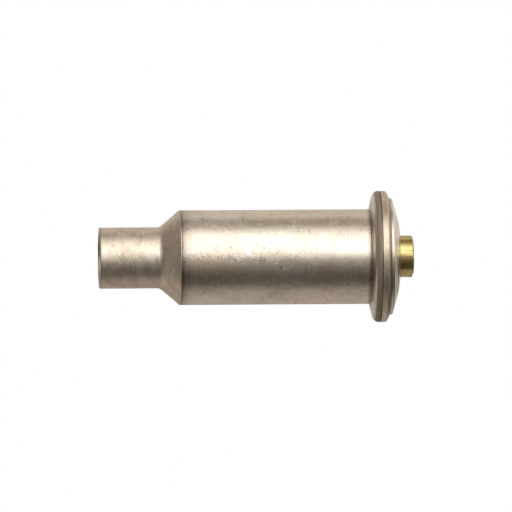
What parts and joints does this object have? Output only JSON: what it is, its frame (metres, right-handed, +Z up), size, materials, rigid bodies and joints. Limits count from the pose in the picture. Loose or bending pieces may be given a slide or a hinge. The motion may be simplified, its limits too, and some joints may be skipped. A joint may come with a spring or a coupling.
{
  "type": "burner nozzle",
  "caption": "Slender hot-air burner nozzle: a narrow outlet tube, a cone, a long round body with a rolled flange, a stepped rear cap and a brass inlet tube, with the burner inside.",
  "frame": {"origin": "on the nozzle's axis, where the straight wall of the body ends at the root fillet of the flange", "axes": "X along the nozzle's axis, the outlet towards -X and the brass inlet towards +X; +Z up"},
  "size_m": [0.0308, 0.013, 0.013],
  "materials": {
    "nickel_plate": "satin nickel plate, worn",
    "nickel_outlet": "satin nickel plate, heat-tinted",
    "nickel_ring": "satin nickel plate, mottled",
    "nickel_cap": "satin nickel plate",
    "nickel_washer": "satin nickel plate",
    "brass": "turned, lightly polished",
    "mica": "pressed mica",
    "sintered_bronze": "sintered, grainy",
    "steel": "heat-tinted stainless steel",
    "spring_steel": "spring temper",
    "wire_mesh": "woven wire",
    "catalyst_fibre": "woven ceramic fibre, coated",
    "ceramic_fibre": "felted ceramic fibre"
  },
  "bodies": {
    "root": {"body_sleeve": "nickel_plate", "outlet_cone": "nickel_outlet", "flange_ring": "nickel_ring", "rear_cap": "nickel_cap", "dome_washer": "nickel_washer", "inlet_tube": "brass", "cap_gasket": "mica", "inlet_filter": "sintered_bronze", "filter_retainer": "brass", "rear_baffle": "steel", "wave_spring": "spring_steel", "distributor_tube": "steel", "distributor_plug": "steel", "arrestor_sleeve": "wire_mesh", "catalyst_sleeve": "catalyst_fibre", "catalyst_cage": "steel", "cage_front_ring": "steel", "cage_rear_ring": "steel", "centring_spider": "steel", "heat_liner": "steel", "insulation_sleeve": "ceramic_fibre", "outlet_screen": "wire_mesh", "screen_ring": "steel"}
  },
  "joints": []
}
